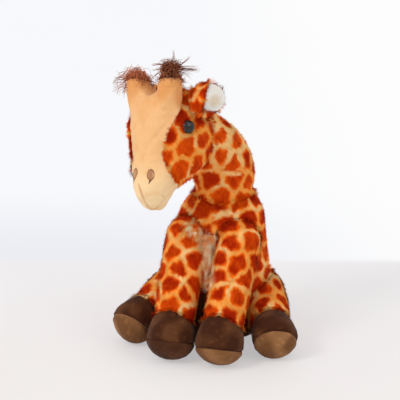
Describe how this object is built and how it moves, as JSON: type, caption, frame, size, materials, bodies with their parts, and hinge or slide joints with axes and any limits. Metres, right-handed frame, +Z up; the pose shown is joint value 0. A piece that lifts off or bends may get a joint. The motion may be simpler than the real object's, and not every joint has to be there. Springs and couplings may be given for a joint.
{
  "type": "plush giraffe",
  "caption": "Seated plush giraffe: stuffed torso on a velour seat, with a bending neck, turning head, folding ears, swinging legs and a tail.",
  "frame": {"origin": "centre of the seated toy's bounding box, on the surface it sits on", "axes": "+Z up, -Y the way the toy faces, +X to the toy's own left"},
  "size_m": [0.1882, 0.2186, 0.2957],
  "materials": {
    "plush_pattern": "short orange and rust plush with tan lines",
    "peach_velour": "smooth peach velour",
    "cream_pile": "long cream pile",
    "dark_velour": "dark brown velour",
    "sole_velour": "brown velour with a sheen",
    "brown_hair": "long brown pile",
    "white_lining": "white short plush",
    "black_gloss": "black gloss",
    "washer_plastic": "plain moulded",
    "pellet_cloth": "woven bag cloth"
  },
  "bodies": {
    "torso": {"torso": "plush_pattern", "seat_panel": "dark_velour", "chest_panel": "cream_pile", "pellet_bag": "pellet_cloth"},
    "neck": {"neck": "plush_pattern", "mane_neck": "brown_hair"},
    "head": {"head": "plush_pattern", "face": "peach_velour", "chin": "peach_velour", "horn_left": "peach_velour", "horn_right": "peach_velour", "horn_tuft_left": "brown_hair", "horn_tuft_right": "brown_hair", "eye_left": "black_gloss", "eye_right": "black_gloss", "eye_washer_left": "washer_plastic", "eye_washer_right": "washer_plastic", "nostril_left": "brown_hair", "nostril_right": "brown_hair", "mane_head": "brown_hair"},
    "ear_left": {"ear_left": "plush_pattern", "ear_lining_left": "white_lining"},
    "ear_right": {"ear_right": "plush_pattern", "ear_lining_right": "white_lining"},
    "front_leg_left": {"front_leg_left": "plush_pattern", "front_hoof_left": "dark_velour", "front_sole_left": "sole_velour"},
    "front_leg_right": {"front_leg_right": "plush_pattern", "front_hoof_right": "dark_velour", "front_sole_right": "sole_velour"},
    "hind_leg_left": {"hind_leg_left": "plush_pattern", "hind_hoof_left": "dark_velour", "hind_sole_left": "sole_velour"},
    "hind_leg_right": {"hind_leg_right": "plush_pattern", "hind_hoof_right": "dark_velour", "hind_sole_right": "sole_velour"},
    "tail": {"tail": "plush_pattern", "tail_tuft": "brown_hair"}
  },
  "joints": [
    {"name": "neck_bend", "type": "hinge", "parent": "torso", "child": "neck", "pos_m": [0.00584, -0.00154, 0.15], "axis": [1, 0, 0], "range_deg": [-10, 10]},
    {"name": "head_turn", "type": "hinge", "parent": "neck", "child": "head", "pos_m": [-0.03236, -0.05413, 0.222], "axis": [-0.0458, 0.19, 0.9807], "range_deg": [-15, 15]},
    {"name": "ear_fold_left", "type": "hinge", "parent": "head", "child": "ear_left", "pos_m": [0.00102, -0.06392, 0.23871], "axis": [0.3598, 0.8847, -0.2965], "range_deg": [0, 35], "stiffness_Nm_per_rad": 0.004, "springref_deg": -11.46},
    {"name": "ear_fold_right", "type": "hinge", "parent": "head", "child": "ear_right", "pos_m": [-0.0586, -0.02651, 0.22868], "axis": [-0.6354, -0.5147, 0.5755], "range_deg": [0, 35], "stiffness_Nm_per_rad": 0.004, "springref_deg": -11.46},
    {"name": "front_leg_swing_left", "type": "hinge", "parent": "torso", "child": "front_leg_left", "pos_m": [0.02903, -0.03054, 0.108], "axis": [-1, 0, 0], "range_deg": [0, 35]},
    {"name": "front_leg_swing_right", "type": "hinge", "parent": "torso", "child": "front_leg_right", "pos_m": [-0.02297, -0.03054, 0.108], "axis": [-1, 0, 0], "range_deg": [0, 35]},
    {"name": "hind_leg_spread_left", "type": "hinge", "parent": "torso", "child": "hind_leg_left", "pos_m": [0.042, 0.00746, 0.045], "axis": [0, 0, 1], "range_deg": [0, 30]},
    {"name": "hind_leg_spread_right", "type": "hinge", "parent": "torso", "child": "hind_leg_right", "pos_m": [-0.042, 0.00746, 0.045], "axis": [0, 0, -1], "range_deg": [0, 30]},
    {"name": "tail_wag", "type": "hinge", "parent": "torso", "child": "tail", "pos_m": [0, 0.05086, 0.05], "axis": [0, 0, 1], "range_deg": [-35, 35]}
  ]
}
